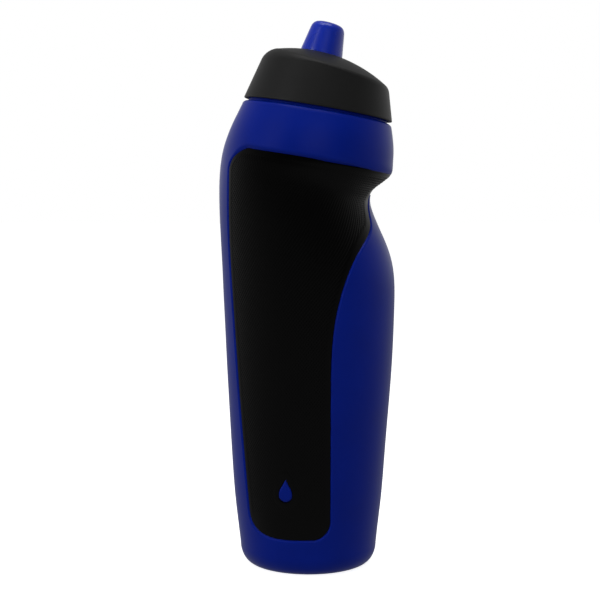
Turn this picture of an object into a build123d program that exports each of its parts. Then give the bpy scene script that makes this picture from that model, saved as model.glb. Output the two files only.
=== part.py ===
from build123d import *
from math import cos, radians, sin, tan
import os

os.makedirs("parts", exist_ok=True)

# Sports squeeze bottle. Origin on the floor under the middle of the foot, +Z up.
# -X is the back of the bottle, +X the front with the finger waist, in millimetres.

# ---- Driving dimensions ----
body_height = 193.5      # floor to the shoulder, over the middle of the foot
body_width = 75.0        # across the belly, back to front
body_depth = 72.8        # across the belly, side to side
wall = 1.1               # thinnest wall of the blown body
foot_radius = 28.4       # at the floor, before the rounded edge
foot_rounding = 6.0
push_up_radius = 20.0    # hollow under the base
push_up_rise = 3.5

grip_recess = 1.2        # depth of the pocket for the grip
grip_sink = 0.3          # grip's face below the body's face
emblem_radius = 3.3      # round end of the drop mark
emblem_height = 11.0

neck_tilt = 9.6          # degrees, shoulder and neck lean towards the front
neck_offset = 3.8        # neck's centre forward of the foot's centre
neck_wall = 2.0
neck_height = 10.6       # shoulder to rim
rim_rounding = 0.5
shoulder_rounding = 2.0
collar_wall = 1.6        # low ring on the shoulder, inside the lid's edge
collar_height = 2.0

thread_lead = 8.0        # two starts, 4 mm from ridge to ridge
thread_starts = 2
thread_rise = 4.4
thread_start = 3.4       # middle of the ridge's lower end above the shoulder
thread_depth = 1.4
thread_root = 2.1        # ridge's width at its root
thread_crest = 1.0       # ridge's width at its crest
thread_gap = 0.35        # crest to the facing wall

lid_radius = 31.8        # cover's lower edge
lid_gap = 1.1            # shoulder to the cover's lower edge
lid_overhang = 0.2       # cover's lower edge past the shoulder
lid_taper = 15.5         # degrees, cover's side
lid_wall = 1.5
crown_slant = 5.0        # degrees, crown against the neck
dome_rise = 8.9
dome_radius_x = 60.0     # dome's curve, back to front
dome_radius_y = 60.0     # dome's curve, side to side
dome_offset = -1.6       # dome's top behind the crown's centre
dome_reach = 50          # degrees each side of the top that the dome is drawn for
ridge_rounding = 2.2

gasket_thickness = 1.2
gasket_lip = 0.3         # gasket past both faces of the neck's rim
liner_plate = 1.6
liner_wall = 1.1
liner_skirt_end = 2.6    # shoulder to the liner's lower edge
liner_ribs = 12
liner_rib_width = 1.6

spout_offset = -3.2      # spout's axis behind the crown's centre
spout_radius = 9.0
spout_tip_radius = 7.0
spout_shank_end = 8.3    # where the taper begins, above the crown's plane
spout_height = 21.6      # tip above the crown's plane, pushed shut
spout_tip_rise = 1.7     # rounded end
tip_rounding = 1.9
tip_crown = 0.4          # orifice's edge above the rounding
spout_travel = 5.5
spout_bead = 1.1         # how far the stop bead stands out
spout_bead_height = 0.9
spout_roof = 2.6         # thickness round the orifice
orifice_radius = 2.6
slide_gap = 0.3          # round anything that slides
stop_drop = 2.4          # cover's spout collar, down from the roof's inside
plate_gap = 1.0          # stop bead to the liner's plate

stem_radius = 5.2
stem_wall = 1.3
flow_gap = 5.0           # stem's end to the nozzle's roof, pushed shut
stem_flange = 1.2
boss_wall = 1.9
boss_over = 0.4          # liner's boss above its plate
boss_under = 1.3         # and below it
spoke_height = 4.0
plug_gap = 0.2
plug_tip_drop = 0.7      # plug's end below the spout's tip
plug_rounding = 0.8
spoke_width = 1.4
seal_section = 0.9       # radius of the O-ring's section
seal_height = 5.0        # O-ring above the crown's plane
seal_sink = 0.85         # share of the section's radius that lies outside the nozzle's bore
seal_gap = 0.05
fit_gap = 0.05           # pressed and clipped joints inside the lid
overlap = 1.0            # how deep one form runs into another to join it

# ---- Frames ----
# The outline is drawn for a body of these sizes and stretched to the sizes above.
drawn_width = 75.0
drawn_depth = 72.8
drawn_height = 193.5
drawn_shoulder = 31.6
drawn_waist = 160.0
stretch_x = body_width / drawn_width
stretch_y = body_depth / drawn_depth
stretch_z = body_height / drawn_height


def leaning_plane(x, z, degrees):
    """Plane across the bottle, leaning down towards the front."""
    tilt = radians(degrees)
    return Plane(origin=(x, 0, z), x_dir=(cos(tilt), 0, -sin(tilt)), z_dir=(sin(tilt), 0, cos(tilt)))


def side(plane):
    """Plane through another plane's axis: x outward to the front, y along the axis."""
    return Plane(origin=plane.origin, x_dir=plane.x_dir, z_dir=-plane.y_dir)


# Heights along the neck, from the shoulder.
plate_under = neck_height + gasket_thickness
plate_over = plate_under + liner_plate

# Heights along the spout, from the crown's plane.
stop_face = dome_rise - lid_wall - stop_drop
bead_top = stop_face - slide_gap - spout_travel
bead_low = bead_top - spout_bead_height
crown_height = plate_over + plate_gap - bead_low
boss_top = plate_over - crown_height + boss_over
boss_foot = plate_under - crown_height - boss_under
spout_roof_under = spout_height - spout_roof
stem_top = spout_roof_under - flow_gap

# Radii that follow the lid. The liner's skirt just clears the cover where its plate meets it.
shoulder_radius = lid_radius - lid_overhang
liner_radius = lid_radius - lid_wall - (plate_over - lid_gap) * tan(radians(lid_taper)) - fit_gap
liner_bore = liner_radius - liner_wall
neck_radius = liner_bore - thread_depth - thread_gap
neck_bore = neck_radius - neck_wall
collar_radius = lid_radius - lid_wall - lid_gap * tan(radians(lid_taper)) - slide_gap

# Radii that follow the stem and the orifice.
spout_bore = stem_radius + slide_gap
seal_radius = spout_bore + seal_sink * seal_section
stem_bore = stem_radius - stem_wall
plug_radius = orifice_radius - plug_gap

shoulder_z = body_height - neck_offset * tan(radians(neck_tilt))
neck = leaning_plane(neck_offset, shoulder_z, neck_tilt)
neck_axis = Axis(neck.origin, neck.z_dir)
crown_centre = neck.offset(crown_height).origin
crown_tilt = neck_tilt + crown_slant
crown = leaning_plane(crown_centre.X, crown_centre.Z, crown_tilt)
spout_centre = crown.from_local_coords((spout_offset, 0, 0))
spout_frame = leaning_plane(spout_centre.X, spout_centre.Z, crown_tilt)
spout_axis = Axis(spout_frame.origin, spout_frame.z_dir)

# ---- Blown body ----
# Sections from the foot to the shoulder: height over the middle of the foot, lean in
# degrees, back and front edge, and half the depth.
sections = [
    (14, 0, -30.0, 29.8, 29.8),
    (28, 0, -31.6, 31.4, 31.3),
    (44, 0, -32.8, 32.7, 32.6),
    (60, 0, -33.7, 33.9, 33.6),
    (75, 0, -34.5, 35.1, 34.6),
    (89, 0, -35.2, 36.0, 35.4),
    (102, 1.3, -35.8, 36.5, 36.0),
    (114, 3.2, -36.4, 36.8, 36.3),
    (125, 5.3, -36.9, 36.7, 36.4),
    (134, 6.9, -37.4, 35.6, 36.2),
    (142, 8.2, -37.8, 33.2, 35.8),
    (149, 9.0, -38.0, 30.1, 35.3),
    (155, 9.5, -38.0, 27.5, 34.8),
    (160, 9.6, -37.8, 26.2, 34.5),
    (164.5, 9.6, -37.4, 27.4, 34.5),
    (168.5, 9.6, -36.8, 31.0, 34.9),
    (172.5, 9.6, -35.9, 34.6, 35.3),
    (177, 9.6, -34.5, 35.8, 35.4),
    (182, 9.6, -32.6, 36.1, 34.8),
    (187.5, 9.6, -30.1, 35.8, 33.6),
]


def body_form(inset):
    """Solid of the body's outer form, drawn in by inset all round."""
    with BuildPart() as form:
        with BuildSketch(Plane.XY.offset(inset)):
            Circle(foot_radius - inset)
        for height, lean, back, front, half_depth in sections:
            # Above the waist the body swells to meet a wider or narrower lid.
            above_waist = max(0, (height - drawn_waist) / (drawn_height - drawn_waist))
            swell = 1 + (shoulder_radius / drawn_shoulder - 1) * above_waist
            middle_x = (back + front) / 2 * stretch_x
            middle_z = height * stretch_z - middle_x * tan(radians(lean))
            half_width = (front - back) / 2 / cos(radians(lean)) * stretch_x * swell
            with BuildSketch(leaning_plane(middle_x, middle_z, lean)):
                Ellipse(half_width - inset, half_depth * stretch_y * swell - inset)
        with BuildSketch(neck.offset(-inset)):
            Circle(shoulder_radius - inset)
        loft()
        fillet(form.edges().group_by(Axis.Z)[0], foot_rounding - inset / 2)
        fillet(form.edges().sort_by(Axis.Z)[-1], shoulder_rounding)
    return form.part


def at(x, z):
    """Point of a side-view outline, stretched with the body."""
    return (x * stretch_x, z * stretch_z)


def grip_outline_prism(margin=0.0):
    """Grip's side-view outline, drawn through the whole bottle from side to side."""
    with BuildPart() as prism:
        with BuildSketch(Plane.XZ.offset(-body_depth)):
            with BuildLine():
                left = Spline(
                    at(-24.9, 27), at(-28.4, 68), at(-31.4, 112), at(-33.1, 145), at(-33.0, 168)
                )
                corner = TangentArc(left @ 1, at(-25.4, 177.6), tangent=left % 1)
                top = Line(corner @ 1, at(44, 165.2))
                edge = Line(top @ 1, at(44, 159.8))
                bridge = Line(edge @ 1, at(29, 159.8))
                tongue = Spline(
                    bridge @ 1, at(25.2, 156.4), at(25.2, 150.6), at(25.6, 145.6), at(21.4, 137.0),
                    at(14.4, 122.5), at(10.6, 108.0), at(9.0, 93), at(8.7, 80),
                )
                right = Line(tongue @ 1, at(8.7, 23.6))
                heel = TangentArc(right @ 1, at(2.0, 16.1), tangent=right % 1)
                Spline(
                    heel @ 1, at(-7.0, 15.4), at(-15.0, 15.9), at(-21.2, 18.6), left @ 0,
                    tangents=(heel % 1, left % 0),
                )
            make_face()
        extrude(amount=2 * body_depth)
    return prism.part


def emblem_prism():
    """Upright drop, drawn through the whole bottle from side to side."""
    low_x, low_z = at(-9.8, 35.0)
    with BuildPart() as prism:
        with BuildSketch(Plane.XZ.offset(-body_depth)):
            with BuildLine():
                round_end = JernArc(
                    (low_x - emblem_radius, low_z), tangent=(0, -1), radius=emblem_radius, arc_size=180
                )
                tip = (low_x, low_z + emblem_height - emblem_radius)
                Spline(round_end @ 1, tip, tangents=((0, 1), (-0.5, 1)))
                Spline(tip, round_end @ 0, tangents=((-0.5, -1), (0, -1)))
            make_face()
        extrude(amount=2 * body_depth)
    return prism.part


outer_form = body_form(0)
grip_face_form = body_form(grip_sink)
pocket_form = body_form(grip_recess)
cavity_form = body_form(grip_recess + wall)
grip_prism = grip_outline_prism()
drop_prism = emblem_prism()

with BuildPart() as pocket:
    add(grip_prism)
    add(pocket_form, mode=Mode.SUBTRACT)
    add(drop_prism, mode=Mode.SUBTRACT)

with BuildPart() as grip_sleeve:
    add(grip_prism)
    add(drop_prism, mode=Mode.SUBTRACT)
    add(grip_face_form, mode=Mode.INTERSECT)
    add(pocket_form, mode=Mode.SUBTRACT)


def push_up(radius, rise):
    """Dome under the base, flat-topped, on a tapered wall."""
    with BuildPart() as dome:
        with BuildSketch(Plane.XZ):
            with BuildLine():
                foot = Line((0, 0), (radius, 0))
                flank = Line(foot @ 1, (radius - 0.6 * rise, 0.7 * rise))
                top = Spline(flank @ 1, (0, rise), tangents=(flank % 1, (-1, 0)))
                Line(top @ 1, foot @ 0)
            make_face()
        revolve(axis=Axis.Z)
    return dome.part


def thread_ridges(root_radius, crest_radius, turn):
    """Two-start ridge on the neck's axis, from its root out or in to its crest."""
    start = neck.offset(thread_start).origin
    sink = 0.2 if crest_radius > root_radius else -0.2
    with BuildPart() as ridge:
        with BuildLine():
            path = Helix(thread_lead, thread_rise, root_radius, center=start, direction=neck.z_dir)
        outward = (path @ 0 - start).normalized()
        depth = crest_radius - root_radius
        with BuildSketch(Plane(origin=path @ 0, x_dir=outward, z_dir=path % 0)):
            with BuildLine():
                Polyline(
                    (-sink, -thread_root / 2),
                    (depth, -thread_crest / 2),
                    (depth, thread_crest / 2),
                    (-sink, thread_root / 2),
                    close=True,
                )
            make_face()
        sweep(path=path, is_frenet=True)
    first = ridge.part.rotate(neck_axis, turn)
    return [first.rotate(neck_axis, 360 / thread_starts * i) for i in range(thread_starts)]


with BuildPart() as bottle_body:
    add(outer_form)
    with BuildSketch(neck.offset(-overlap)):
        Circle(neck_radius)
    extrude(amount=neck_height + overlap)
    fillet(bottle_body.edges().sort_by(neck_axis)[-1], rim_rounding)
    with BuildSketch(neck.offset(-overlap)):
        Circle(collar_radius)
        Circle(collar_radius - collar_wall, mode=Mode.SUBTRACT)
    extrude(amount=collar_height + overlap)
    for ridge in thread_ridges(neck_radius, neck_radius + thread_depth, 0):
        add(ridge)
    add(cavity_form, mode=Mode.SUBTRACT)
    with BuildSketch(neck.offset(-3 * wall - grip_recess)):
        Circle(neck_bore)
    extrude(amount=neck_height + 4 * wall + grip_recess, mode=Mode.SUBTRACT)
    add(push_up(push_up_radius + wall, push_up_rise + grip_recess + wall))
    add(push_up(push_up_radius, push_up_rise), mode=Mode.SUBTRACT)
    add(pocket.part, mode=Mode.SUBTRACT)


def crown_form(inset):
    """Solid under the cover's tapered side and its dome, drawn in by inset."""
    lower = lid_gap if inset == 0 else lid_gap - overlap
    run = tan(radians(lid_taper))
    tall = crown_height + 2 * dome_rise
    reach = dome_radius_x + lid_radius
    with BuildPart() as form:
        with BuildSketch(side(neck)):
            Polygon(
                (0, lower),
                (lid_radius - inset - (lower - lid_gap) * run, lower),
                (lid_radius - inset - (tall - lid_gap) * run, tall),
                (0, tall),
                align=None,
            )
        revolve(axis=neck_axis)
        with BuildSketch(side(crown)):
            with BuildLine():
                arc_radius = dome_radius_x - inset
                drop = arc_radius * (1 - cos(radians(dome_reach)))
                half_span = arc_radius * sin(radians(dome_reach))
                top = dome_rise - inset
                low = top - drop
                arc = ThreePointArc(
                    (dome_offset - half_span, low), (dome_offset, top), (dome_offset + half_span, low)
                )
                Polyline(
                    arc @ 1, (reach, low), (reach, reach), (-reach, reach), (-reach, low), arc @ 0
                )
            make_face()
        revolve(
            axis=Axis(crown.from_local_coords((0, 0, dome_rise - dome_radius_y)), crown.x_dir),
            mode=Mode.SUBTRACT,
        )
    return form.part


with BuildPart() as spout_collar:
    with BuildSketch(spout_frame.offset(stop_face)):
        Circle(spout_radius + slide_gap + spout_bead)
    extrude(amount=dome_rise)
    add(crown_form(lid_wall / 2), mode=Mode.INTERSECT)

with BuildPart() as lid_cover:
    add(crown_form(0))
    ridge_edges = lid_cover.edges().filter_by(lambda e: e.length > 100).sort_by(neck_axis)[-1]
    fillet(ridge_edges, ridge_rounding)
    add(crown_form(lid_wall), mode=Mode.SUBTRACT)
    add(spout_collar.part)
    with BuildSketch(spout_frame):
        Circle(spout_radius + slide_gap)
    extrude(amount=2 * dome_rise, mode=Mode.SUBTRACT)

with BuildPart() as lid_liner:
    with BuildSketch(neck.offset(liner_skirt_end)):
        Circle(liner_radius)
        Circle(liner_bore, mode=Mode.SUBTRACT)
    extrude(amount=plate_under - liner_skirt_end)
    with BuildSketch(neck.offset(plate_under)):
        Circle(liner_radius)
    extrude(amount=liner_plate)
    with BuildSketch(neck.offset(liner_skirt_end)):
        with PolarLocations((lid_radius + liner_radius) / 2, liner_ribs):
            Rectangle(lid_radius - liner_radius + 0.4, liner_rib_width)
    extrude(amount=plate_under - liner_skirt_end)
    add(crown_form(lid_wall + fit_gap), mode=Mode.INTERSECT)
    for ridge in thread_ridges(liner_bore, liner_bore - thread_depth, 90):
        add(ridge)
    with BuildSketch(spout_frame.offset(boss_foot)):
        Circle(stem_radius + boss_wall)
    extrude(amount=boss_top - boss_foot)
    with BuildSketch(spout_frame.offset(2 * boss_foot)):
        Circle(stem_radius + fit_gap)
    extrude(amount=-4 * boss_foot, mode=Mode.SUBTRACT)

with BuildPart() as lid_gasket:
    with BuildSketch(neck.offset(neck_height)):
        Circle(neck_radius + gasket_lip)
        Circle(neck_bore - gasket_lip, mode=Mode.SUBTRACT)
    extrude(amount=gasket_thickness)

with BuildPart() as valve_stem:
    with BuildSketch(spout_frame.offset(boss_foot - stem_flange)):
        Circle(stem_radius + boss_wall - fit_gap)
    extrude(amount=stem_flange)
    with BuildSketch(spout_frame.offset(boss_foot)):
        Circle(stem_radius)
    extrude(amount=stem_top - boss_foot)
    with BuildSketch(spout_frame.offset(boss_foot - stem_flange)):
        Circle(stem_bore)
    extrude(amount=stem_top - boss_foot + stem_flange, mode=Mode.SUBTRACT)
    with BuildSketch(spout_frame.offset(stem_top - spoke_height)):
        for angle in (0, 60, 120):
            Rectangle(2 * stem_radius - stem_wall, spoke_width, rotation=angle)
        Circle(plug_radius)
    extrude(amount=spoke_height)
    with BuildSketch(spout_frame.offset(stem_top)):
        Circle(plug_radius)
    extrude(amount=spout_height - plug_tip_drop - stem_top)
    fillet(valve_stem.edges().sort_by(spout_axis)[-1], plug_rounding)

with BuildPart() as spout:
    with BuildSketch(side(spout_frame)):
        with BuildLine():
            outside = Polyline(
                (spout_bore, bead_low), (spout_radius + spout_bead, bead_low),
                (spout_radius + spout_bead, bead_top), (spout_radius, bead_top),
                (spout_radius, spout_shank_end), (spout_tip_radius, spout_height - spout_tip_rise),
            )
            shoulder = TangentArc(
                outside @ 1,
                (spout_tip_radius - tip_rounding, spout_height - tip_crown),
                tangent=outside % 1,
            )
            crest = Line(shoulder @ 1, (orifice_radius, spout_height))
            Polyline(
                crest @ 1,
                (orifice_radius, spout_roof_under),
                (spout_bore, spout_roof_under),
                (spout_bore, bead_low),
            )
        make_face()
    revolve(axis=spout_axis)
    with BuildSketch(side(spout_frame)):
        with Locations((seal_radius, seal_height)):
            Circle(seal_section + seal_gap)
    revolve(axis=spout_axis, mode=Mode.SUBTRACT)

with BuildPart() as spout_seal:
    with BuildSketch(side(spout_frame)):
        with Locations((seal_radius, seal_height)):
            Circle(seal_section)
    revolve(axis=spout_axis)

pieces = {
    "bottle_body": bottle_body,
    "grip_sleeve": grip_sleeve,
    "lid_cover": lid_cover,
    "lid_liner": lid_liner,
    "lid_gasket": lid_gasket,
    "valve_stem": valve_stem,
    "spout": spout,
    "spout_seal": spout_seal,
}
for name, piece in pieces.items():
    piece.part.label = name
    export_step(piece.part, f"parts/{name}.step")
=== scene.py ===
"""Looks of the sports squeeze bottle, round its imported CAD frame. Metres, +Z up, front at +X."""

import math

import bpy
import numpy as np
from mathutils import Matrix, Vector


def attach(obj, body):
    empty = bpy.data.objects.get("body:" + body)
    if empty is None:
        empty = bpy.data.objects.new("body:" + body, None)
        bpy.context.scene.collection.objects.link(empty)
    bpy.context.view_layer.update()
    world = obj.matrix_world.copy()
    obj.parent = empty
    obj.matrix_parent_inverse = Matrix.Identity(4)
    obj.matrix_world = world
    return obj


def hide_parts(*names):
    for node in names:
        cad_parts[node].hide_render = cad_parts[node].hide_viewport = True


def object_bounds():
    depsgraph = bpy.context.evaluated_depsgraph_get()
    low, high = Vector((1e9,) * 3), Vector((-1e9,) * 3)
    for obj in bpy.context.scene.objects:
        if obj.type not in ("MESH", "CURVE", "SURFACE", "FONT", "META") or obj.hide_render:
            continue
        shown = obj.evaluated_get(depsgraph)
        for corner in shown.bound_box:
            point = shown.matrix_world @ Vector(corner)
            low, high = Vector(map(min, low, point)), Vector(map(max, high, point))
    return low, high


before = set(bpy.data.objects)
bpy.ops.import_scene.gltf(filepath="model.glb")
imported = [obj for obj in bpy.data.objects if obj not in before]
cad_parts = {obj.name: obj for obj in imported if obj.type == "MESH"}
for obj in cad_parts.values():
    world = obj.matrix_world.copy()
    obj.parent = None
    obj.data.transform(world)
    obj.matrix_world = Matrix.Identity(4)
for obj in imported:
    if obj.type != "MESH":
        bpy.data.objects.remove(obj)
cad_low, cad_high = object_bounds()

MM = 0.001

# ---- The bottle's form, in millimetres as the CAD has it ----
FOOT_ROUNDING = 8.5        # height at which the foot begins to draw in
FOOT_FLAT = 23.0           # radius where the foot's rounding meets the floor
PUSH_UP_RADIUS = 20.0      # hollow of the base
PUSH_UP_RISE = 3.5
WALL = 2.3                 # outer form to the cavity
CAVITY_FOOT = 29.0         # outer form's radius where the cavity has its floor
CAVITY_ROUNDING = 5.0
CENTRE_HOLE = 2.0          # radius of the polygon that closes the middle of the base
SKIN = 0.06                # keeps the looks inside the CAD box
WAIST_CORNER = 165.0       # height of the corner over the waist
WAIST_FULLER = 0.55        # how much fuller that corner is than the CAD's
WAIST_SPREAD = 4.0         # and over which height
NECK_TILT = math.radians(9.6)
NECK_ORIGIN = (3.8, 192.857)
SHOULDER_RADIUS = 31.6
SHOULDER_ROUNDING = 2.0
SHOULDER_DROP = 1.45       # from the shoulder's flat down to the side's last row
SHOULDER_INSET = 1.51      # from the shoulder's radius in to the middle of its rounding
COLLAR = (28.1, 29.7, 2.0)          # inner and outer radius, height
NECK = (21.989, 23.989, 10.6)       # bore, outside, height
RIDGE_LEAD = 8.0           # thread: how far a turn lifts the lid
RIDGE_RISE = 4.4           # how far one ridge climbs
RIDGE_START = 3.4          # height at which it starts
RIDGE_DEPTH = 1.4
RIDGE_RUN_OUT = math.radians(14)
RIDGE_SECTION = [
    (-0.25, -1.05), (0.12, -0.98), (0.86, -0.62), (1.0, -0.42),
    (1.0, 0.42), (0.86, 0.62), (0.12, 0.98), (-0.25, 1.05),
]

CROWN_TILT = math.radians(14.6)     # lean of the lid's dome and of the spout
CROWN_ORIGIN = (6.485, 208.732)
SPOUT_ORIGIN = (3.388, 209.538)
SPOUT_OFFSET = -3.2        # spout's axis from the crown's
LID_RADIUS = 31.8
LID_GAP = 1.1              # shoulder to the lid's lower edge
LID_TAPER = math.tan(math.radians(15.5))
LID_WALL = 1.5
DOME_RISE = 8.9
DOME_X = 60.0              # dome's radius from front to back, and from side to side
DOME_Y = 60.0
DOME_OFFSET = -1.6
RIDGE_ROUNDING = (1.7, 8.0, 4.6)     # lid's upper edge at the sides, the back and the front
SPOUT_HOLE = 9.3
SPOUT_COLLAR = 10.4        # room for the spout's stop, under the hole
HOLE_CHAMFER = 0.3
STOP_FACE = 5.0            # height of the face that the stop meets

GRIP_RECESS = 1.2          # pocket in the body
GRIP_SINK = 0.35           # how deep the grip's face lies in it
BAND_SHADOW = 0.55         # how much deeper the grip lies along the band's edge
BAND_REACH = 5.0
BAND_LINE = (173.1, -0.1787)        # height of that edge at the middle, and its slope
FRONT_TURN = 14.0          # where the edge's shadow starts to fade to the front, and over what length
LIP = 0.5                  # rounding of the body's edge round the grip
LIP_UNDER_BAND = 1.8       # and along the lower edge of the blue band
LIP_SHARE = 0.4            # how far the seen edge lies outside the outline
GRIP_EDGE = 0.45           # rounding of the grip's own edge
EMBLEM = (-9.8, 35.0, 3.3, 11.0)    # middle of the round end, its radius, whole height

# Sections: height over the middle of the foot, lean in degrees, back, front, half depth.
SECTIONS = [
    (0, 0, -28.4, 28.4, 28.4),
    (14, 0, -30.0, 29.8, 29.8),
    (28, 0, -31.6, 31.4, 31.3),
    (44, 0, -32.8, 32.7, 32.6),
    (60, 0, -33.7, 33.9, 33.6),
    (75, 0, -34.5, 35.1, 34.6),
    (89, 0, -35.2, 36.0, 35.4),
    (102, 1.3, -35.8, 36.5, 36.0),
    (114, 3.2, -36.4, 36.8, 36.3),
    (125, 5.3, -36.9, 36.7, 36.4),
    (134, 6.9, -37.4, 35.6, 36.2),
    (142, 8.2, -37.8, 33.2, 35.8),
    (149, 9.0, -38.0, 30.1, 35.3),
    (155, 9.5, -38.0, 27.5, 34.8),
    (160, 9.6, -37.8, 26.2, 34.5),
    (164.5, 9.6, -37.4, 27.4, 34.5),
    (168.5, 9.6, -36.8, 31.0, 34.9),
    (172.5, 9.6, -35.9, 34.6, 35.3),
    (177, 9.6, -34.5, 35.8, 35.4),
    (182, 9.6, -32.6, 36.1, 34.8),
    (187.5, 9.6, -30.1, 35.8, 33.6),
]


def spline(knots, values, where):
    """Natural cubic spline through values at knots, read at where. Values may have columns."""
    knots, values = np.asarray(knots, float), np.asarray(values, float)
    n = len(knots)
    step = np.diff(knots)
    slope = np.diff(values, axis=0) / step[:, None]
    system = np.eye(n)
    right = np.zeros_like(values)
    for i in range(1, n - 1):
        system[i, i - 1:i + 2] = step[i - 1], 2 * (step[i - 1] + step[i]), step[i]
        right[i] = 6 * (slope[i] - slope[i - 1])
    bend = np.linalg.solve(system, right)
    i = np.clip(np.searchsorted(knots, where) - 1, 0, n - 2)
    t, h = (where - knots[i])[:, None], step[i][:, None]
    linear = slope[i] - h * (2 * bend[i] + bend[i + 1]) / 6
    return values[i] + t * linear + t**2 * bend[i] / 2 + t**3 * (bend[i + 1] - bend[i]) / (6 * h)


def section_rows():
    """Each section as middle x, middle z, lean, half width and half depth."""
    rows = []
    for height, lean, back, front, depth in SECTIONS:
        middle = (back + front) / 2
        lean = math.radians(lean)
        half_width = (front - back) / 2 / math.cos(lean)
        rows.append((middle, height - middle * math.tan(lean), lean, half_width, depth))
    rows.append((NECK_ORIGIN[0], NECK_ORIGIN[1], NECK_TILT, SHOULDER_RADIUS, SHOULDER_RADIUS))
    return np.array(rows)


ROWS = section_rows()


def body_points(heights, columns, inset=0.0):
    """Grid of points on the body's outer form, drawn in by inset, a row to each middle height."""
    sections = spline(ROWS[:, 1], ROWS, np.asarray(heights, float))
    mid_x, mid_z, lean, half_width, half_depth = sections.T[..., None]
    turn = np.linspace(0, 2 * np.pi, columns, endpoint=False)[None, :]
    across = (half_width - inset) * np.cos(turn)
    x = mid_x + across * np.cos(lean)
    z = mid_z - across * np.sin(lean)
    near_corner = np.exp(-((z - WAIST_CORNER) / WAIST_SPREAD)**2)
    fuller = WAIST_FULLER * near_corner * smoothstep((x - 8) / 20)
    return np.stack([x + fuller, (half_depth - inset) * np.sin(turn) + 0 * lean, z], axis=-1)


def ring(radius, height, columns, origin=(0.0, 0.0), tilt=0.0):
    """Circle across a tilted axis: radius, height along the axis from its origin."""
    turn = np.linspace(0, 2 * np.pi, columns, endpoint=False)
    return tilted(radius * np.cos(turn), radius * np.sin(turn), height + 0 * turn, origin, tilt)


def tilted(x, y, along, origin, tilt):
    """Points given on a tilted axis, in the bottle's own frame."""
    return np.stack([
        origin[0] + x * math.cos(tilt) + along * math.sin(tilt),
        y + 0 * x,
        origin[1] - x * math.sin(tilt) + along * math.cos(tilt),
    ], axis=-1)


def grid_normals(points):
    """Outward normals of a grid that closes round its columns."""
    along = np.gradient(points, axis=0)
    across = (np.roll(points, -1, axis=1) - np.roll(points, 1, axis=1)) / 2
    normal = np.cross(across, along)
    return normal / np.linalg.norm(normal, axis=-1, keepdims=True)


def grid_faces(rows, columns, start=0):
    """Quads of a grid that closes round its columns, facing outward where rows go up."""
    i, j = np.meshgrid(np.arange(rows - 1), np.arange(columns), indexing="ij")
    k = (j + 1) % columns
    low, high = i * columns, (i + 1) * columns
    return np.stack([low + j, low + k, high + k, high + j], axis=-1).reshape(-1, 4) + start


def smoothstep(t):
    """0 up to t = 0, 1 from t = 1, and smooth between."""
    t = np.clip(t, 0, 1)
    return t * t * (3 - 2 * t)


def make_object(name, points, faces, body, material):
    """Mesh object from points in millimetres and lists of faces, riding on a body."""
    mesh = bpy.data.meshes.new(name)
    mesh.from_pydata((np.asarray(points).reshape(-1, 3) * MM).tolist(), [], [f.tolist() for f in faces])
    mesh.validate()
    mesh.polygons.foreach_set("use_smooth", [True] * len(mesh.polygons))
    mesh.update()
    piece = bpy.data.objects.new(name, mesh)
    bpy.context.scene.collection.objects.link(piece)
    mesh.materials.append(material)
    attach(piece, body)
    return piece


# ---- The grip's outline, seen from the side ----
def arc_points(start, end, tangent, count=12):
    """Arc from start to end that leaves start along tangent."""
    start, end, tangent = (np.asarray(v, float) for v in (start, end, tangent))
    tangent = tangent / np.linalg.norm(tangent)
    chord = end - start
    turn = 2 * math.atan2(tangent[0] * chord[1] - tangent[1] * chord[0], tangent @ chord)
    radius = np.linalg.norm(chord) / (2 * math.sin(turn / 2))
    normal = np.array([-tangent[1], tangent[0]])
    centre = start + radius * normal
    angles = np.linspace(0, turn, count)[:, None]
    return centre - radius * np.cos(angles) * normal + radius * np.sin(angles) * tangent


def curve_points(points, count=40):
    """Smooth curve through a few points."""
    points = np.asarray(points, float)
    along = np.r_[0, np.cumsum(np.linalg.norm(np.diff(points, axis=0), axis=1))]
    return spline(along, points, np.linspace(0, along[-1], count))


def grip_outline():
    """Closed outline: left edge, corner, band's edge, waist and right edge, and the rounded foot."""
    left = curve_points([(-24.9, 27), (-28.4, 68), (-31.4, 112), (-33.1, 145), (-33.0, 168)])
    corner = arc_points(left[-1], (-25.4, 177.1), left[-1] - left[-2])
    tongue = curve_points([
        (29, 159.8), (26.6, 158.9), (25.2, 156.4), (25.0, 150.6), (25.6, 145.6), (21.4, 137.0),
        (14.4, 122.5), (10.6, 108.0), (9.0, 93), (8.7, 80),
    ], 90)
    heel = arc_points((8.7, 23.6), (2.0, 16.1), (0, -1))
    toe = curve_points([
        (2.0, 16.2), (-7.0, 15.9), (-15.0, 16.3), (-21.3, 18.6), (-24.1, 22.6), (-24.9, 27),
    ])
    past_front = [(44, 164.3), (44, 159.8)]
    return np.vstack([left, corner[1:], past_front, tongue, heel, toe[1:-1]])


def drop_outline():
    """Generic water drop: a round end below, and two curved sides up to a tip."""
    x, z, radius, height = EMBLEM
    low = np.linspace(-0.15 * np.pi, -0.85 * np.pi, 25)
    round_end = np.stack([x + radius * np.cos(low), z + radius * np.sin(low)], axis=-1)
    tip = (x, z + height - radius)
    belly, belly_height = 0.93 * radius, z + 0.25 * radius
    waist, waist_height = 0.42 * radius, tip[1] - 3.2
    left = curve_points([round_end[-1], (x - belly, belly_height), (x - waist, waist_height), tip], 16)
    right = curve_points([tip, (x + waist, waist_height), (x + belly, belly_height), round_end[0]], 16)
    return np.vstack([round_end, left[1:], right[1:-1]])


BATCH = 20000              # points measured at once, to bound the memory


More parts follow.
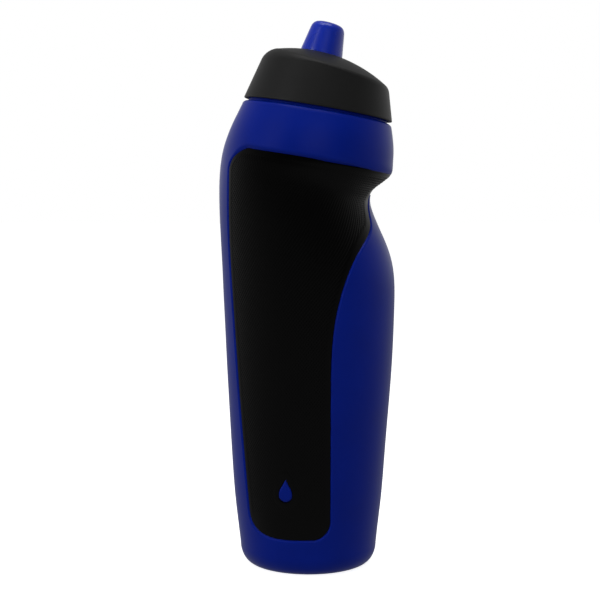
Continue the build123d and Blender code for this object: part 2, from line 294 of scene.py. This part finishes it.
def outline_distance(points, outline):
    """Signed distance to a closed outline in the side view, positive outside, and its gradient."""
    start = outline
    span = np.roll(outline, -1, axis=0) - start
    length2 = (span**2).sum(1)
    flat = points.reshape(-1, 2)
    distance = np.empty(len(flat))
    gradient = np.empty((len(flat), 2))
    for low in range(0, len(flat), BATCH):
        batch = slice(low, low + BATCH)
        p = flat[batch, None, :]
        t = np.clip(((p - start) * span).sum(-1) / length2, 0, 1)
        away = p - (start + t[..., None] * span)
        d2 = (away**2).sum(-1)
        nearest = d2.argmin(1)
        rows = np.arange(len(nearest))
        d = np.sqrt(d2[rows, nearest])
        crossing = (start[:, 1] > p[..., 1]) != (start[:, 1] + span[:, 1] > p[..., 1])
        with np.errstate(divide="ignore", invalid="ignore"):
            at_x = start[:, 0] + (p[..., 1] - start[:, 1]) / span[:, 1] * span[:, 0]
        inside = (crossing & (p[..., 0] < at_x)).sum(1) % 2 == 1
        sign = np.where(inside, -1.0, 1.0)
        distance[batch] = d * sign
        gradient[batch] = away[rows, nearest] / np.maximum(d, 1e-6)[:, None] * sign[:, None]
    return distance.reshape(points.shape[:-1]), gradient.reshape(points.shape)


def grip_depth(points, normals):
    """How far inside the grip's edge each point of the body lies, along the surface."""
    seen = points[..., [0, 2]]
    outline, gradient = outline_distance(seen, grip_outline())
    drop, drop_gradient = outline_distance(seen, drop_outline())
    nearer_drop = -drop > outline
    depth = LIP_SHARE - np.where(nearer_drop, -drop, outline)
    gradient = np.where(nearer_drop[..., None], -drop_gradient, gradient)
    slant = (normals[..., [0, 2]] * gradient).sum(-1)
    return depth / np.sqrt(np.maximum(1 - slant**2, 0.04))


def frontness(points):
    """0 on the sides and 1 at the front."""
    return smoothstep((points[..., 0] - FRONT_TURN) / FRONT_TURN)


def band_weight(points):
    """1 along the lower edge of the blue band, down to 0 at BAND_REACH from it and at the front."""
    line = BAND_LINE[0] + BAND_LINE[1] * points[..., 0]
    away = np.abs(line - points[..., 2]) / BAND_REACH
    return (1 - smoothstep(away)) * (1 - frontness(points))


# ---- Body ----
BODY_COLUMNS = 480
INNER_COLUMNS = 120        # neck and cavity, a whole fraction of the body's
SIDE_ROWS = 340


def base_rows():
    """Base, from the middle of its hollow out to the ring that it stands on."""
    profile = [
        (CENTRE_HOLE, PUSH_UP_RISE), (6.0, PUSH_UP_RISE - 0.05), (12.0, PUSH_UP_RISE - 0.25),
        (16.0, PUSH_UP_RISE - 0.6), (17.9, 2.45), (19.0, 1.2), (20.0, 0.25), (20.5, 0.0),
        (FOOT_FLAT - 0.6, 0.0),
    ]
    return [ring(radius, rise, BODY_COLUMNS) for radius, rise in profile]


def foot_rows(lowest):
    """Rounding from the floor up to the lowest row of the side."""
    flat = ring(FOOT_FLAT, 0.0, BODY_COLUMNS)
    rows = []
    for angle in np.linspace(0, math.pi / 2, 16)[:-1]:
        row = flat + (lowest - flat) * math.sin(angle)
        row[:, 2] = lowest[:, 2] * (1 - math.cos(angle))
        rows.append(row)
    return rows


def side_rows():
    """Outer side, with the grip's pocket sunk into it behind a rounded lip."""
    top = ROWS[-1, 1] - SHOULDER_DROP / math.cos(NECK_TILT)
    side = body_points(np.linspace(FOOT_ROUNDING, top, SIDE_ROWS), BODY_COLUMNS, SKIN)
    normals = grid_normals(side)
    depth = grip_depth(side, normals)
    lip = LIP * (1 - 0.5 * frontness(side)) + (LIP_UNDER_BAND - LIP) * band_weight(side)
    edge = np.clip(lip + depth, 0, lip)
    sunk = lip - np.sqrt(np.maximum(lip**2 - edge**2, 0))
    sunk = np.minimum(sunk + GRIP_RECESS * smoothstep(depth / 0.4), GRIP_RECESS)
    return side - normals * sunk[..., None]


def shoulder_rows():
    """Rounding from the side over to the shoulder's flat."""
    middle = SHOULDER_RADIUS - SHOULDER_INSET
    rows = []
    for angle in np.linspace(math.radians(20), math.radians(90), 9):
        radius = middle + SHOULDER_ROUNDING * math.cos(angle)
        height = SHOULDER_ROUNDING * (math.sin(angle) - 1)
        rows.append(ring(radius, height, BODY_COLUMNS, NECK_ORIGIN, NECK_TILT))
    return rows


def neck_rows():
    """From the shoulder's flat over the collar and up the neck, then down its bore."""
    collar_in, collar_out, collar_top = COLLAR
    bore, outside, rim = NECK
    profile = [
        (collar_out + 0.25, 0.0), (collar_out + 0.07, 0.08), (collar_out, 0.3),
        (collar_out, collar_top - 0.35), (collar_out - 0.1, collar_top - 0.1),
        (collar_out - 0.35, collar_top), (collar_in + 0.35, collar_top),
        (collar_in + 0.1, collar_top - 0.1), (collar_in, collar_top - 0.35), (collar_in, 0.3),
        (collar_in - 0.3, 0.0), (outside + 0.8, 0.0), (outside + 0.2, 0.2), (outside, 0.8),
        (outside, rim - 0.5), (outside - 0.15, rim - 0.15), (outside - 0.5, rim),
        (bore + 0.3, rim), (bore + 0.08, rim - 0.08), (bore, rim - 0.3), (bore, 0.0),
        (bore + 0.3, -2.0), (bore + 1.6, -3.4),
    ]
    return [ring(radius, height, INNER_COLUMNS, NECK_ORIGIN, NECK_TILT) for radius, height in profile]


def cavity_rows():
    """Inside of the body, from under the neck down to the middle of its floor."""
    side = body_points(np.linspace(ROWS[-1, 1] - 6.0, 8.0, 70), INNER_COLUMNS, WALL)
    profile = []
    for angle in np.linspace(0.15, 1, 7) * math.pi / 2:
        radius = CAVITY_FOOT - WALL - CAVITY_ROUNDING * (1 - math.cos(angle))
        profile.append((radius, WALL + CAVITY_ROUNDING * (1 - math.sin(angle))))
    profile += [
        (PUSH_UP_RADIUS + 0.6, WALL + 0.1), (PUSH_UP_RADIUS - 2.4, PUSH_UP_RISE + WALL),
        (CENTRE_HOLE, PUSH_UP_RISE + WALL),
    ]
    floor = [ring(radius, height, INNER_COLUMNS) for radius, height in profile]
    return np.vstack([side, np.array(floor)])


def joining_faces(join, start):
    """Triangles from the shoulder's last row, at join, to the neck's coarser first row, at start."""
    share = BODY_COLUMNS // INNER_COLUMNS
    half = share // 2
    faces = []
    for k in range(INNER_COLUMNS):
        near, far = start + k, start + (k + 1) % INNER_COLUMNS
        rim = [join + (k * share + n) % BODY_COLUMNS for n in range(share + 1)]
        for n in range(share):
            faces.append(np.array([rim[n], rim[n + 1], near if n < half else far]))
        faces.append(np.array([near, rim[half], far]))
    return faces


def body_mesh():
    """Closed body: base, side with the grip's pocket, shoulder, collar, neck, bore and cavity."""
    side = side_rows()
    outer = np.vstack([np.array(base_rows() + foot_rows(side[0])), side, np.array(shoulder_rows())])
    inner = np.vstack([np.array(neck_rows()), cavity_rows()])
    start = len(outer) * BODY_COLUMNS
    end = start + len(inner) * INNER_COLUMNS
    faces = list(grid_faces(len(outer), BODY_COLUMNS))
    faces += joining_faces(start - BODY_COLUMNS, start)
    faces += list(grid_faces(len(inner), INNER_COLUMNS, start))
    faces.append(np.arange(BODY_COLUMNS)[::-1])
    faces.append(np.arange(end - INNER_COLUMNS, end))
    return np.vstack([outer.reshape(-1, 3), inner.reshape(-1, 3)]), faces


def ridge_faces(columns, start):
    """Faces of one ridge: its sides, section by section, and its two ends."""
    corners = len(RIDGE_SECTION)
    faces = []
    for k in range(corners):
        near, far = k * columns, (k + 1) % corners * columns
        for n in range(columns - 1):
            faces.append(np.array([near + n, near + n + 1, far + n + 1, far + n]) + start)
    faces.append(np.array([k * columns for k in range(corners)]) + start)
    faces.append(np.array([k * columns + columns - 1 for k in reversed(range(corners))]) + start)
    return faces


def neck_ridges(columns=90):
    """The thread's two ridges, which run out at their ends, as closed sweeps: points and faces."""
    points, faces = [], []
    turns = np.linspace(0, 2 * np.pi * RIDGE_RISE / RIDGE_LEAD, columns)
    fade = smoothstep(np.minimum(turns, turns[-1] - turns) / RIDGE_RUN_OUT)
    height = RIDGE_START + RIDGE_LEAD * turns / (2 * np.pi)
    for first_turn in (0, np.pi):
        angle = turns + first_turn
        faces += ridge_faces(columns, sum(len(p) for p in points))
        for out, up in RIDGE_SECTION:
            radius = NECK[1] + max(out, 0) * RIDGE_DEPTH * fade + min(out, 0)
            x, y = radius * np.cos(angle), radius * np.sin(angle)
            points.append(tilted(x, y, height + up, NECK_ORIGIN, NECK_TILT))
    return np.vstack(points), faces


# ---- Grip ----
GRIP_COLUMNS = 672
GRIP_ROW = 0.425           # height of a grid cell
GRIP_PITCH = 4             # grid cells from pit to pit
GRIP_SPAN = (12.5, 187)    # heights between which the grid holds the whole grip
PIT_DEPTH = 0.45
GRIP_BACK = 1.17           # depth of the grip's back, just off the pocket's floor
GRIP_OVERLAP = 0.35        # how far the skin goes on under the body's lip
OVERLAP_SLOPE = 1.2        # and how steeply it sinks there
BARE_MARGIN = 1.7          # smooth border round the texture
BARE_FRONT = 1.8           # and how much wider it is beside the waist


def grip_sink(base, depth):
    """How deep the grip's face lies under the body's form: edge, fall under the band, and pits."""
    x, z = base[..., 0], base[..., 2]
    ahead = smoothstep((x - 12) / 12) * smoothstep((z - 159) / 4)
    rounding = GRIP_EDGE * (1 - 0.8 * ahead)
    edge = np.clip(rounding - depth, 0, rounding)
    sink = GRIP_SINK * (1 - 0.8 * ahead) + BAND_SHADOW * band_weight(base)
    sink = sink + rounding - np.sqrt(np.maximum(rounding**2 - edge**2, 0))
    sink = sink + np.clip(-depth, 0, 1) * OVERLAP_SLOPE
    row, column = np.meshgrid(np.arange(base.shape[0]), np.arange(base.shape[1]), indexing="ij")
    wave = np.cos(2 * np.pi * row / GRIP_PITCH) * np.cos(2 * np.pi * column / GRIP_PITCH)
    pit = (1 + wave) / 2
    beside_waist = smoothstep((x - 12) / 10) * smoothstep((z - 105) / 20) * smoothstep((162 - z) / 6)
    margin = BARE_MARGIN + BARE_FRONT * beside_waist
    textured = smoothstep((depth - margin) / 1.2) * smoothstep((z - 22) / 6)
    return np.minimum(sink + PIT_DEPTH * pit**2 * textured, GRIP_BACK - 0.02)


def grip_mesh():
    """Closed skin in the body's pocket: textured face, rounded edge, and a back on the pocket's floor."""
    base = body_points(np.arange(*GRIP_SPAN, GRIP_ROW), GRIP_COLUMNS)
    normals = grid_normals(base)
    depth = grip_depth(base, normals)
    face = base - normals * grip_sink(base, depth)[..., None]
    back = base - normals * GRIP_BACK

    quads = grid_faces(base.shape[0], GRIP_COLUMNS)
    kept = quads[(depth.reshape(-1)[quads] > -GRIP_OVERLAP).all(1)]
    used = np.unique(kept)
    count = len(used)
    renumber = np.full(depth.size, -1)
    renumber[used] = np.arange(count)
    kept = renumber[kept]
    edges = set(map(tuple, np.concatenate([kept[:, [n, (n + 1) % 4]] for n in range(4)]).tolist()))
    rim = sorted(pair for pair in edges if pair[::-1] not in edges)
    faces = list(kept) + list(kept[:, ::-1] + count)
    faces += [np.array([b, a, a + count, b + count]) for a, b in rim]
    return np.vstack([face.reshape(-1, 3)[used], back.reshape(-1, 3)[used]]), faces


# ---- Lid ----
LID_COLUMNS = 256


def dome_height(x, y, inset=0.0):
    """Height of the crown's dome over its plane, at a place on that plane."""
    reach = DOME_Y - DOME_X + np.sqrt(np.maximum((DOME_X - inset)**2 - (x - DOME_OFFSET)**2, 0))
    return DOME_RISE - DOME_Y + np.sqrt(np.maximum(reach**2 - y**2, 0))


def to_crown(points):
    """Bottle's frame to the crown's tilted frame: x, y and height along its axis."""
    x, z = points[..., 0] - CROWN_ORIGIN[0], points[..., 2] - CROWN_ORIGIN[1]
    lean, rise = math.sin(CROWN_TILT), math.cos(CROWN_TILT)
    return x * rise - z * lean, points[..., 1], x * lean + z * rise


def on_crown(x, y, up):
    """The crown's tilted frame to the bottle's."""
    return tilted(x, y, up, CROWN_ORIGIN, CROWN_TILT)


def hole_circle(turn, radius):
    """Circle round the spout's axis, on the crown's plane."""
    return SPOUT_OFFSET + radius * np.cos(turn), radius * np.sin(turn)


def cone_point(turn, height, inset=0.0):
    """Point on the lid's tapered side, at a height along the neck."""
    radius = LID_RADIUS - inset - (height - LID_GAP) * LID_TAPER
    return tilted(radius * np.cos(turn), radius * np.sin(turn), height, NECK_ORIGIN, NECK_TILT)


def lid_ridge(turn, inset):
    """Height along the neck at which the side meets the dome, all round."""
    low, high = np.full_like(turn, 5.0), np.full_like(turn, 32.0)
    for _ in range(40):
        middle = (low + high) / 2
        x, y, up = to_crown(cone_point(turn, middle, inset))
        above = up > dome_height(x, y, inset)
        high = np.where(above, middle, high)
        low = np.where(above, low, middle)
    return middle


def dome_rows(turn, start, inset, hole, shares):
    """Rows over the dome, from a row at its edge to a hole round the spout's axis."""
    x, y, _ = to_crown(start)
    hole_x, hole_y = hole_circle(turn, hole)
    rows = []
    for share in shares:
        at_x, at_y = x + (hole_x - x) * share, y + (hole_y - y) * share
        rows.append(on_crown(at_x, at_y, dome_height(at_x, at_y, inset)))
    return rows


def unit(vectors):
    """The same directions, a length of 1."""
    return vectors / np.linalg.norm(vectors, axis=-1, keepdims=True)


def rounded_corner(corner, before, after, radius, count):
    """Arc rows that round a corner between two directions, all round the lid."""
    a, b = unit(before - corner), unit(after - corner)
    half = np.arccos(np.clip((a * b).sum(-1), -1, 1)) / 2
    tangent = (radius / np.tan(half))[:, None]
    centre = corner + unit(a + b) * (radius / np.sin(half))[:, None]
    start, end = corner + a * tangent - centre, corner + b * tangent - centre
    angle = np.arccos(np.clip((unit(start) * unit(end)).sum(-1), -1, 1))[:, None]
    rows = []
    for t in np.linspace(0, 1, count):
        from_centre = np.sin((1 - t) * angle) * start + np.sin(t * angle) * end
        rows.append(centre + from_centre / np.sin(angle))
    return rows


def ridge_arc(turn, ridge_height):
    """Rounding between the lid's side and its dome, tight at the sides and soft behind and in front."""
    at_side, at_back, at_front = RIDGE_ROUNDING
    ahead = np.cos(turn)
    radius = at_side + (at_front - at_side) * smoothstep(ahead) + (at_back - at_side) * smoothstep(-ahead)
    corner = cone_point(turn, ridge_height)
    below = cone_point(turn, ridge_height - 0.1)
    inward = dome_rows(turn, corner, 0.0, SPOUT_HOLE, [0.1])[0]
    return rounded_corner(corner, below, inward, radius, 14)


def lid_outside(turn):
    """Lower edge, tapered side, rounded ridge, and dome up to the edge of the hole."""
    ridge_height = lid_ridge(turn, 0.0)
    arc = ridge_arc(turn, ridge_height)
    rounded_off = np.linalg.norm(arc[0] - cone_point(turn, ridge_height), axis=-1)
    side_top = ridge_height - rounded_off / math.hypot(1, LID_TAPER)
    rows = [cone_point(turn, LID_GAP + 0 * turn, 0.45), cone_point(turn, LID_GAP + 0.06 + 0 * turn, 0.18)]
    for share in np.linspace(0.02, 0.97, 24):
        rows.append(cone_point(turn, LID_GAP + (side_top - LID_GAP) * share))
    dome = dome_rows(turn, arc[-1], 0.0, SPOUT_HOLE + HOLE_CHAMFER, np.linspace(0.06, 1, 30))
    return rows + arc + dome


def lid_hole(turn):
    """Rounded edge of the spout's hole, the hole, and the face under it that the stop meets."""
    x, y = hole_circle(turn, SPOUT_HOLE)
    lip = dome_height(x, y)
    rows = []
    for outward, down in ((0.22, 0.02), (0.08, 0.12), (0.0, 0.35)):
        rows.append(on_crown(*hole_circle(turn, SPOUT_HOLE + outward), lip - down))
    rows.append(on_crown(x, y, STOP_FACE + 0 * x))
    rows.append(on_crown(*hole_circle(turn, SPOUT_COLLAR), STOP_FACE + 0 * x))
    return rows


def lid_inside(turn):
    """Inner face, from the stop's room down to the lower edge."""
    ridge_height = lid_ridge(turn, LID_WALL)
    ridge = cone_point(turn, ridge_height, LID_WALL)
    rows = dome_rows(turn, ridge, LID_WALL, SPOUT_COLLAR, np.linspace(0.14, 1, 12))[::-1]
    for share in np.linspace(0.84, 0.0, 10):
        rows.append(cone_point(turn, LID_GAP + (ridge_height - LID_GAP) * share, LID_WALL))
    return rows


def closed_rows(rows):
    """Rows whose last joins the first again, and their faces."""
    rows = np.array(rows)
    columns = rows.shape[1]
    return rows, [face % (len(rows) * columns) for face in grid_faces(len(rows) + 1, columns)]


def lid_mesh():
    """Cover: outside, hole for the spout, and inside."""
    turn = np.linspace(0, 2 * np.pi, LID_COLUMNS, endpoint=False)
    return closed_rows(lid_outside(turn) + lid_hole(turn) + lid_inside(turn))


# ---- Spout ----
SPOUT_COLUMNS = 128
SPOUT_STOP = [(5.5, -1.7), (9.8, -1.7), (10.1, -1.4), (10.1, -1.0), (9.85, -0.8), (9.0, -0.8)]
SPOUT_SIDE = [
    (9.0, 0.4), (9.0, 2.5), (9.0, 5.0), (9.0, 7.4), (8.97, 8.3), (8.8, 9.4), (8.5, 11.1), (8.1, 13.4),
    (7.7, 15.8), (7.46, 17.2), (7.28, 18.2),
]
SPOUT_TIP = [
    (7.08, 18.95), (6.78, 19.65), (6.36, 20.25), (5.85, 20.7), (5.25, 21.02), (4.55, 21.24), (3.8, 21.4),
    (3.15, 21.48), (2.8, 21.42), (2.62, 21.22), (2.6, 20.9), (2.6, 19.3), (2.7, 19.05), (3.0, 19.0),
]
SPOUT_BORE = [
    (5.2, 19.0), (5.5, 18.7), (5.5, 6.0), (6.0, 5.95), (6.9, 5.7), (7.22, 5.0), (6.9, 4.3), (6.0, 4.05),
    (5.5, 4.0), (5.5, 1.0),
]


def spout_mesh():
    """Spout turned from its profile: stop, side, tip with the orifice, bore with the seal's groove."""
    profile = SPOUT_STOP + SPOUT_SIDE + SPOUT_TIP + SPOUT_BORE
    return closed_rows([ring(r, h, SPOUT_COLUMNS, SPOUT_ORIGIN, CROWN_TILT) for r, h in profile])


# ---- Materials ----
MOTTLING = 0.15            # how far the colour strays, as a share
GLOSS_SPREAD = 0.12        # how far the roughness strays
PATCH_SCALE = 60.0         # patches of both, to the metre


def plastic(name, colour, roughness, grain_scale, grain_height, specular=0.5):
    """Moulded plastic: faint mottling of colour and gloss, and a fine grain in the surface."""
    material = bpy.data.materials.new(name)
    material.use_nodes = True
    nodes, links = material.node_tree.nodes, material.node_tree.links
    shader = nodes["Principled BSDF"]
    shader.inputs["Specular IOR Level"].default_value = specular
    place = nodes.new("ShaderNodeTexCoord").outputs["Object"]
    cloud = nodes.new("ShaderNodeTexNoise")
    cloud.inputs["Scale"].default_value = PATCH_SCALE
    cloud.inputs["Detail"].default_value = 3.0
    links.new(place, cloud.inputs["Vector"])
    tint = nodes.new("ShaderNodeMix")
    tint.data_type = "RGBA"
    tint.inputs["A"].default_value = (*(c * (1 - MOTTLING) for c in colour), 1)
    tint.inputs["B"].default_value = (*(c * (1 + MOTTLING) for c in colour), 1)
    links.new(cloud.outputs["Fac"], tint.inputs["Factor"])
    links.new(tint.outputs["Result"], shader.inputs["Base Color"])
    gloss = nodes.new("ShaderNodeMapRange")
    gloss.inputs["To Min"].default_value = roughness * (1 - GLOSS_SPREAD)
    gloss.inputs["To Max"].default_value = roughness * (1 + GLOSS_SPREAD)
    links.new(cloud.outputs["Fac"], gloss.inputs["Value"])
    links.new(gloss.outputs["Result"], shader.inputs["Roughness"])
    grain = nodes.new("ShaderNodeTexNoise")
    grain.inputs["Scale"].default_value = grain_scale
    grain.inputs["Detail"].default_value = 2.0
    links.new(place, grain.inputs["Vector"])
    bump = nodes.new("ShaderNodeBump")
    bump.inputs["Strength"].default_value = 1.0
    bump.inputs["Distance"].default_value = grain_height * MM
    links.new(grain.outputs["Fac"], bump.inputs["Height"])
    links.new(bump.outputs["Normal"], shader.inputs["Normal"])
    return material


body_blue = plastic("body_blue", (0.0004, 0.015, 0.29), 0.36, 900, 0.003, specular=0.12)
spout_blue = plastic("spout_blue", (0.001, 0.022, 0.42), 0.28, 1400, 0.008, specular=0.45)
grip_black = plastic("grip_black", (0.0005, 0.0005, 0.0005), 0.32, 2600, 0.008, specular=0.1)
lid_black = plastic("lid_black", (0.01, 0.01, 0.01), 0.5, 2200, 0.02, specular=0.2)
liner_black = plastic("liner_black", (0.022, 0.022, 0.023), 0.4, 1500, 0.01)
seal_grey = plastic("seal_grey", (0.35, 0.35, 0.34), 0.5, 1200, 0.01)
stem_grey = plastic("stem_grey", (0.03, 0.03, 0.033), 0.4, 1500, 0.01)

# ---- Pieces ----
points, faces = body_mesh()
ridge_points, ridges = neck_ridges()
faces += [face + len(points) for face in ridges]
points = np.vstack([points, ridge_points])
body_shell = make_object("body_shell", points, faces, "bottle", body_blue)
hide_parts("bottle_body")

points, faces = grip_mesh()
grip_skin = make_object("grip_skin", points, faces, "bottle", grip_black)
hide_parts("grip_sleeve")

points, faces = lid_mesh()
lid_shell = make_object("lid_shell", points, faces, "lid", lid_black)
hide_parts("lid_cover")

points, faces = spout_mesh()
spout_shell = make_object("spout_shell", points, faces, "nozzle", spout_blue)
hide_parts("spout")

for node, material in (("lid_liner", liner_black), ("lid_gasket", seal_grey), ("valve_stem", stem_grey),
                       ("spout_seal", seal_grey)):
    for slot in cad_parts[node].material_slots:
        slot.material = material

# ---- Stage, light and camera ----
FLOOR_HALF = 6.0           # half the floor's side, in metres
FLOOR_GLOW = 0.86          # so that a lit floor reads as white paper
FLOOR_DIM = 0.16           # how the floor lights the bottle
FLOOR_MIRRORED = 0.42      # and how it mirrors in it
SURROUND_FRONT = 0.1       # how bright the bottle sees the studio in front of it
SURROUND_BACK = 0.85       # and behind it
SURROUND_HIGH = 0.35       # share of that which is left overhead


def floor_material():
    """White paper to the camera, and dim to reflections so that the bottle keeps its colour."""
    material = bpy.data.materials.new("floor_pale")
    material.use_nodes = True
    nodes, links = material.node_tree.nodes, material.node_tree.links
    nodes.remove(nodes["Principled BSDF"])
    seen = nodes.new("ShaderNodeLightPath").outputs["Is Camera Ray"]
    paper = nodes.new("ShaderNodeBsdfDiffuse")
    paper.inputs["Color"].default_value = (0.8, 0.8, 0.8, 1)
    glow = nodes.new("ShaderNodeEmission")
    glow.inputs["Strength"].default_value = FLOOR_GLOW
    lit = nodes.new("ShaderNodeAddShader")
    links.new(paper.outputs[0], lit.inputs[0])
    links.new(glow.outputs[0], lit.inputs[1])
    dim = nodes.new("ShaderNodeEmission")
    mirrored = nodes.new("ShaderNodeMapRange")
    mirrored.inputs["To Min"].default_value = FLOOR_DIM
    mirrored.inputs["To Max"].default_value = FLOOR_MIRRORED
    links.new(seen.node.outputs["Is Glossy Ray"], mirrored.inputs["Value"])
    links.new(mirrored.outputs["Result"], dim.inputs["Strength"])
    mix = nodes.new("ShaderNodeMixShader")
    links.new(seen, mix.inputs[0])
    links.new(dim.outputs[0], mix.inputs[1])
    links.new(lit.outputs[0], mix.inputs[2])
    links.new(mix.outputs[0], nodes["Material Output"].inputs["Surface"])
    return material


floor_mesh = bpy.data.meshes.new("floor")
floor_mesh.from_pydata([(-FLOOR_HALF, -FLOOR_HALF, 0), (FLOOR_HALF, -FLOOR_HALF, 0),
                        (FLOOR_HALF, FLOOR_HALF, 0), (-FLOOR_HALF, FLOOR_HALF, 0)], [], [(0, 1, 2, 3)])
floor = bpy.data.objects.new("floor", floor_mesh)
floor.data.materials.append(floor_material())
bpy.context.scene.collection.objects.link(floor)


def studio_world():
    """White behind the bottle; what lights it and mirrors in it is dim in front and bright behind."""
    world = bpy.data.worlds.new("studio")
    bpy.context.scene.world = world
    world.use_nodes = True
    nodes, links = world.node_tree.nodes, world.node_tree.links
    dim = nodes["Background"]
    dim.inputs["Color"].default_value = (1, 1, 1, 1)
    direction = nodes.new("ShaderNodeTexCoord").outputs["Generated"]
    split = nodes.new("ShaderNodeSeparateXYZ")
    links.new(direction, split.inputs[0])
    ramp = nodes.new("ShaderNodeMapRange")
    ramp.interpolation_type = "SMOOTHSTEP"
    ramp.inputs["From Min"].default_value = -0.9
    ramp.inputs["From Max"].default_value = 0.7
    links.new(split.outputs["Y"], ramp.inputs["Value"])
    low = nodes.new("ShaderNodeMapRange")
    low.interpolation_type = "SMOOTHSTEP"
    low.inputs["From Min"].default_value = 0.05
    low.inputs["From Max"].default_value = 0.5
    low.inputs["To Min"].default_value = 1.0
    low.inputs["To Max"].default_value = SURROUND_HIGH
    links.new(split.outputs["Z"], low.inputs["Value"])
    behind = nodes.new("ShaderNodeMath")
    behind.operation = "MULTIPLY"
    links.new(ramp.outputs["Result"], behind.inputs[0])
    links.new(low.outputs["Result"], behind.inputs[1])
    glow = nodes.new("ShaderNodeMapRange")
    glow.inputs["To Min"].default_value = SURROUND_FRONT
    glow.inputs["To Max"].default_value = SURROUND_BACK
    links.new(behind.outputs["Value"], glow.inputs["Value"])
    links.new(glow.outputs["Result"], dim.inputs["Strength"])
    white = nodes.new("ShaderNodeBackground")
    white.inputs["Color"].default_value = (1, 1, 1, 1)
    seen = nodes.new("ShaderNodeLightPath").outputs["Is Camera Ray"]
    mix = nodes.new("ShaderNodeMixShader")
    links.new(seen, mix.inputs[0])
    links.new(dim.outputs[0], mix.inputs[1])
    links.new(white.outputs[0], mix.inputs[2])
    links.new(mix.outputs[0], nodes["World Output"].inputs["Surface"])


studio_world()
middle = Vector([(low + high) / 2 for low, high in zip(cad_low, cad_high)])


def soft_light(name, place, size, power, mirrored=False, only=None):
    """Large area light that faces the bottle's middle; it lights all pieces, or only those given."""
    data = bpy.data.lights.new(name, "AREA")
    data.shape = "RECTANGLE"
    data.size, data.size_y = size
    data.energy = power
    light = bpy.data.objects.new(name, data)
    light.location = place
    light.rotation_euler = (middle - Vector(place)).to_track_quat("-Z", "Y").to_euler()
    light.visible_camera = False
    light.visible_glossy = mirrored
    bpy.context.scene.collection.objects.link(light)
    if only:
        receivers = bpy.data.collections.new(name + "_receivers")
        for piece in only:
            receivers.objects.link(piece)
        light.light_linking.receiver_collection = receivers


soft_light("key_left", (-0.95, -0.65, 0.55), (0.6, 1.0), 3.0)
soft_light("front", (0.2, -1.4, 0.6), (0.9, 0.9), 4.5)
soft_light("top", (0.0, -0.1, 1.2), (0.9, 0.6), 5, mirrored=True)
lid_pieces = [spout_shell, lid_shell]
soft_light("glint_left", (-0.95, -0.65, 0.45), (0.3, 0.9), 2.5, mirrored=True, only=lid_pieces)

CAMERA_DISTANCE = 0.6
CAMERA_PITCH = math.radians(4.5)          # looks down by this
LOOK_AT = Vector((-0.00365, 0.0, 0.1132))
SENSOR = 36.0
FOCAL = 84.06
camera_data = bpy.data.cameras.new("camera")
camera_data.sensor_width = SENSOR
camera_data.lens = FOCAL
camera = bpy.data.objects.new("camera", camera_data)
camera.location = LOOK_AT + CAMERA_DISTANCE * Vector((0, -math.cos(CAMERA_PITCH), math.sin(CAMERA_PITCH)))
camera.rotation_euler = (math.pi / 2 - CAMERA_PITCH, 0, 0)
bpy.context.scene.collection.objects.link(camera)
bpy.context.scene.camera = camera
bpy.context.scene.view_settings.view_transform = "Standard"

bpy.context.view_layer.update()
